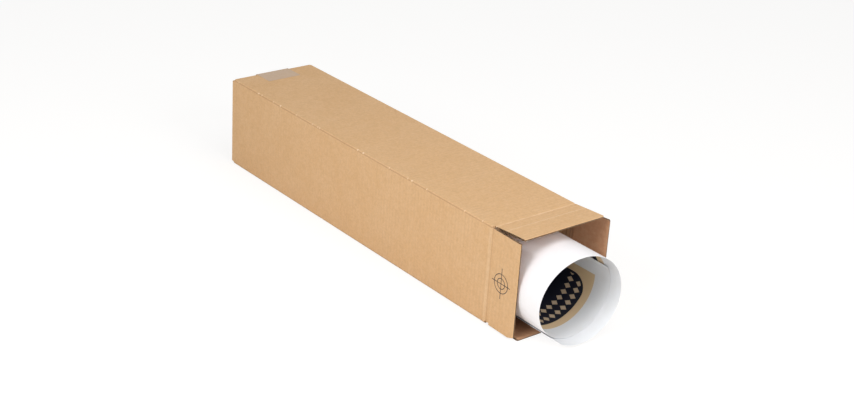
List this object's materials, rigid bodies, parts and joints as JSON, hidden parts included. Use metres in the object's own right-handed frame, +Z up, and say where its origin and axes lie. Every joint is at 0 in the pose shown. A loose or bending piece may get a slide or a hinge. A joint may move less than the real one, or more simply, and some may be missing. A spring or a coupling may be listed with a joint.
{
  "type": "cardboard mailing tube",
  "caption": "Long square corrugated postal box with a taped far end, an open mouth with hinged flaps, and a rolled poster sticking out of it.",
  "frame": {"origin": "middle of the underside of the four long panels, on the surface that the box lies on", "axes": "+Y along the box towards its closed end, so the mouth is at -Y; +X to the right seen from the mouth end looking at +Y; +Z up"},
  "size_m": [0.1308, 0.6105, 0.1192],
  "materials": {
    "kraft_board": "matt brown kraft liner with faint flute lines",
    "packing_tape": "thin clear film that shows the board through it, slightly greyed",
    "poster_paper": "smooth heavy white paper"
  },
  "bodies": {
    "box": {"box_body": "kraft_board", "closing_tape": "packing_tape", "poster_roll": "poster_paper"},
    "upper_flap": {"top_flap": "kraft_board"},
    "lower_flap": {"bottom_flap": "kraft_board"},
    "left_side_flap": {"left_flap": "kraft_board"},
    "right_side_flap": {"right_flap": "kraft_board"}
  },
  "joints": [
    {"name": "top_flap_crease", "type": "hinge", "parent": "box", "child": "upper_flap", "pos_m": [0, -0.259, 0.116], "axis": [-1, 0, 0], "range_deg": [-4, 171]},
    {"name": "left_flap_crease", "type": "hinge", "parent": "box", "child": "left_side_flap", "pos_m": [-0.06, -0.259, 0.058], "axis": [0, 0, -1], "range_deg": [-1.5, 173.5]},
    {"name": "bottom_flap_crease", "type": "hinge", "parent": "box", "child": "lower_flap", "pos_m": [0, -0.259, 0], "axis": [1, 0, 0], "range_deg": [0, 175]},
    {"name": "right_flap_crease", "type": "hinge", "parent": "box", "child": "right_side_flap", "pos_m": [0.06, -0.259, 0.058], "axis": [0, 0, 1], "range_deg": [-12, 163]}
  ]
}
